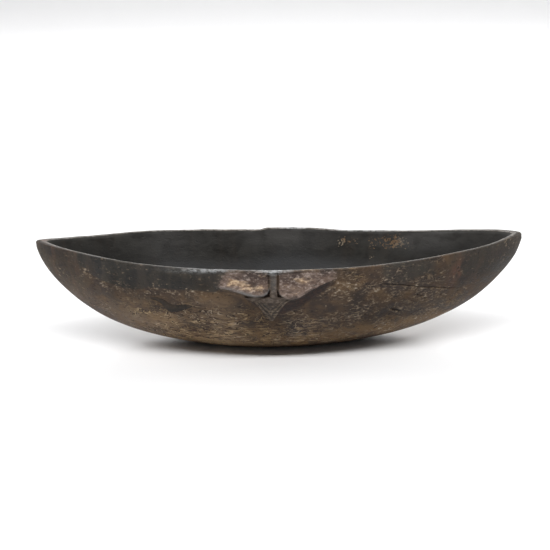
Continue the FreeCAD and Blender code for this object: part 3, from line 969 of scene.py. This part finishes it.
def wood_material():
    g = Wood()
    skin = carved_grips(g, smoky_coat(g, flaking_skin(g, handled_wood(g))))
    colour = rubbed_rim(g, g.mix(g.span(g.inside, 0.93, 0.99), skin, dark_hollow(g)))
    roughness = g.plus(g.span(g.patch, 0.3, 0.7, 0.48, 0.66), g.times(g.span(g.grain, 0.4, 0.7), 0.12))
    ledges = g.times(g.math("FLOOR", g.terraces), g.times(g.scaly, 0.5))
    height = g.plus(ledges, g.times(g.grain, 1.2))
    height = g.math("SUBTRACT", height, g.times(g.span(g.pit, 0.4, 0.26), 0.6))
    height = g.times(height, g.span(g.inside, 0.93, 0.99, 1.0, 0.4))
    return g.finish(colour, roughness, 0.28, height, 0.75, 0.001)


def putty_material():
    g = Graph("dark putty")
    tone = g.noise(g.scaled(1, 1, 1.5), 60, 4, 0.6)
    fine = g.noise(g.scaled(1, 1, 1), 300, 3, 0.6)
    colour = g.mix(g.span(tone, 0.38, 0.62), srgb(34, 28, 22), srgb(54, 45, 36))
    colour = g.tint(colour, g.span(fine, 0.5, 0.7), 0.3, srgb(84, 72, 58))
    colour = g.tint(colour, g.span(fine, 0.44, 0.32), 0.5, srgb(20, 16, 13))
    return g.finish(colour, g.span(tone, 0.3, 0.7, 0.5, 0.66), 0.25, fine, 0.4, 0.0006)


bowl.data.materials.append(wood_material())
putty.data.materials.append(putty_material())
for piece, node, slot in ((bowl, "bowl_body", "aged_wood"), (putty, "check_putty", "dark_putty")):
    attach(piece, "root")
    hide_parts(node)


# ---------------------------------------------------------------- floor, light, camera

FLOOR_REACH = 12.0
BEND_START = 4.0               # where the floor starts to curve up
BEND_RADIUS = 2.0
BEND_STEPS = 12
BACKDROP_TOP = 6.0
FAR_POWER = 150
WORLD_STRENGTH = 0.10
TARGET = Vector((0.0, 0.0, 0.07))
CAMERA_DISTANCE = 2.0
CAMERA_RISE = math.radians(17.0)
# Small turns about the camera's own axes, in radians; the last is its roll
CAMERA_TURNS = (((1, 0, 0), 0.01304), ((0, 1, 0), 0.00345), ((0, 0, 1), -0.01745))
LENS = 90.25
SENSOR_WIDTH = 36.0
VIEW_END = 50.0


def sweep():
    """A pale floor that curves up into a backdrop far behind the bowl."""
    rows = [(y, 0.0) for y in (-FLOOR_REACH, -8.0, -4.0, -2.0, 0.0, 2.0, BEND_START)]
    for i in range(1, BEND_STEPS + 1):
        a = math.pi / 2 * i / BEND_STEPS
        rows.append((BEND_START + BEND_RADIUS * math.sin(a), BEND_RADIUS * (1 - math.cos(a))))
    rows.append((BEND_START + BEND_RADIUS, BACKDROP_TOP))
    points = np.array([(x, y, z) for y, z in rows for x in (-FLOOR_REACH, FLOOR_REACH)])
    faces = [[2 * i, 2 * i + 1, 2 * i + 3, 2 * i + 2] for i in range(len(rows) - 1)]
    floor = add_object("floor", points, faces)
    g = Graph("pale floor")
    shader = g.node("ShaderNodeBsdfPrincipled", Roughness=0.9)
    shader.inputs["Base Color"].default_value = (0.86, 0.86, 0.865, 1)
    shader.inputs["Specular IOR Level"].default_value = 0.2
    g.put(g.out.inputs["Surface"], shader.outputs[0])
    floor.data.materials.append(g.material)


def area_light(name, place, aim, size, power):
    data = bpy.data.lights.new(name, "AREA")
    data.shape = "RECTANGLE"
    data.size, data.size_y = size
    data.energy = power
    light = bpy.data.objects.new(name, data)
    light.location = place
    light.rotation_mode = "QUATERNION"
    light.rotation_quaternion = (Vector(aim) - Vector(place)).to_track_quat("-Z", "Y")
    bpy.context.scene.collection.objects.link(light)


def light_studio():
    """A long narrow light above the front, a wide one behind and one at each side, and four more that
    brighten the backdrop and the far floor."""
    area_light("key", (0.0, -1.0, 2.12), (0, 0, 0.05), (4.5, 0.14), 71)
    area_light("back", (0.0, 3.4, 2.0), (0, 0.4, 0.0), (5.0, 2.4), 52)
    area_light("left", (-2.6, 1.0, 1.3), (-0.2, 0.1, 0.0), (1.6, 1.6), 44)
    area_light("right", (2.6, 1.0, 1.3), (0.2, 0.1, 0.0), (1.6, 1.6), 46)
    area_light("wall", (0.0, 4.4, 4.0), (0, 5.4, 0.3), (9.0, 2.0), FAR_POWER)
    for name, x, y in (("far front", 0.0, -1.0), ("far left", -1.0, 0.0), ("far right", 1.0, 0.0)):
        area_light(name, (5.0 * x, 5.0 * y, 3.2), (9.0 * x, 9.0 * y, 0.0), (6.0, 2.0), FAR_POWER)
    world = bpy.data.worlds.new("world")
    world.use_nodes = True
    world.node_tree.nodes["Background"].inputs["Color"].default_value = (1, 1, 1, 1)
    world.node_tree.nodes["Background"].inputs["Strength"].default_value = WORLD_STRENGTH
    bpy.context.scene.world = world
    bpy.context.scene.view_settings.view_transform = "Standard"


def place_camera():
    data = bpy.data.cameras.new("camera")
    data.lens = LENS
    data.sensor_width = SENSOR_WIDTH
    data.clip_end = VIEW_END
    camera = bpy.data.objects.new("camera", data)
    away = Vector((0.0, -math.cos(CAMERA_RISE), math.sin(CAMERA_RISE)))
    camera.location = TARGET + away * CAMERA_DISTANCE
    turn = (TARGET - camera.location).to_track_quat("-Z", "Y")
    for axis, angle in CAMERA_TURNS:
        turn = turn @ Quaternion(axis, angle)
    camera.rotation_mode = "QUATERNION"
    camera.rotation_quaternion = turn
    bpy.context.scene.collection.objects.link(camera)
    bpy.context.scene.camera = camera


sweep()
light_studio()
place_camera()

bpy.context.view_layer.update()
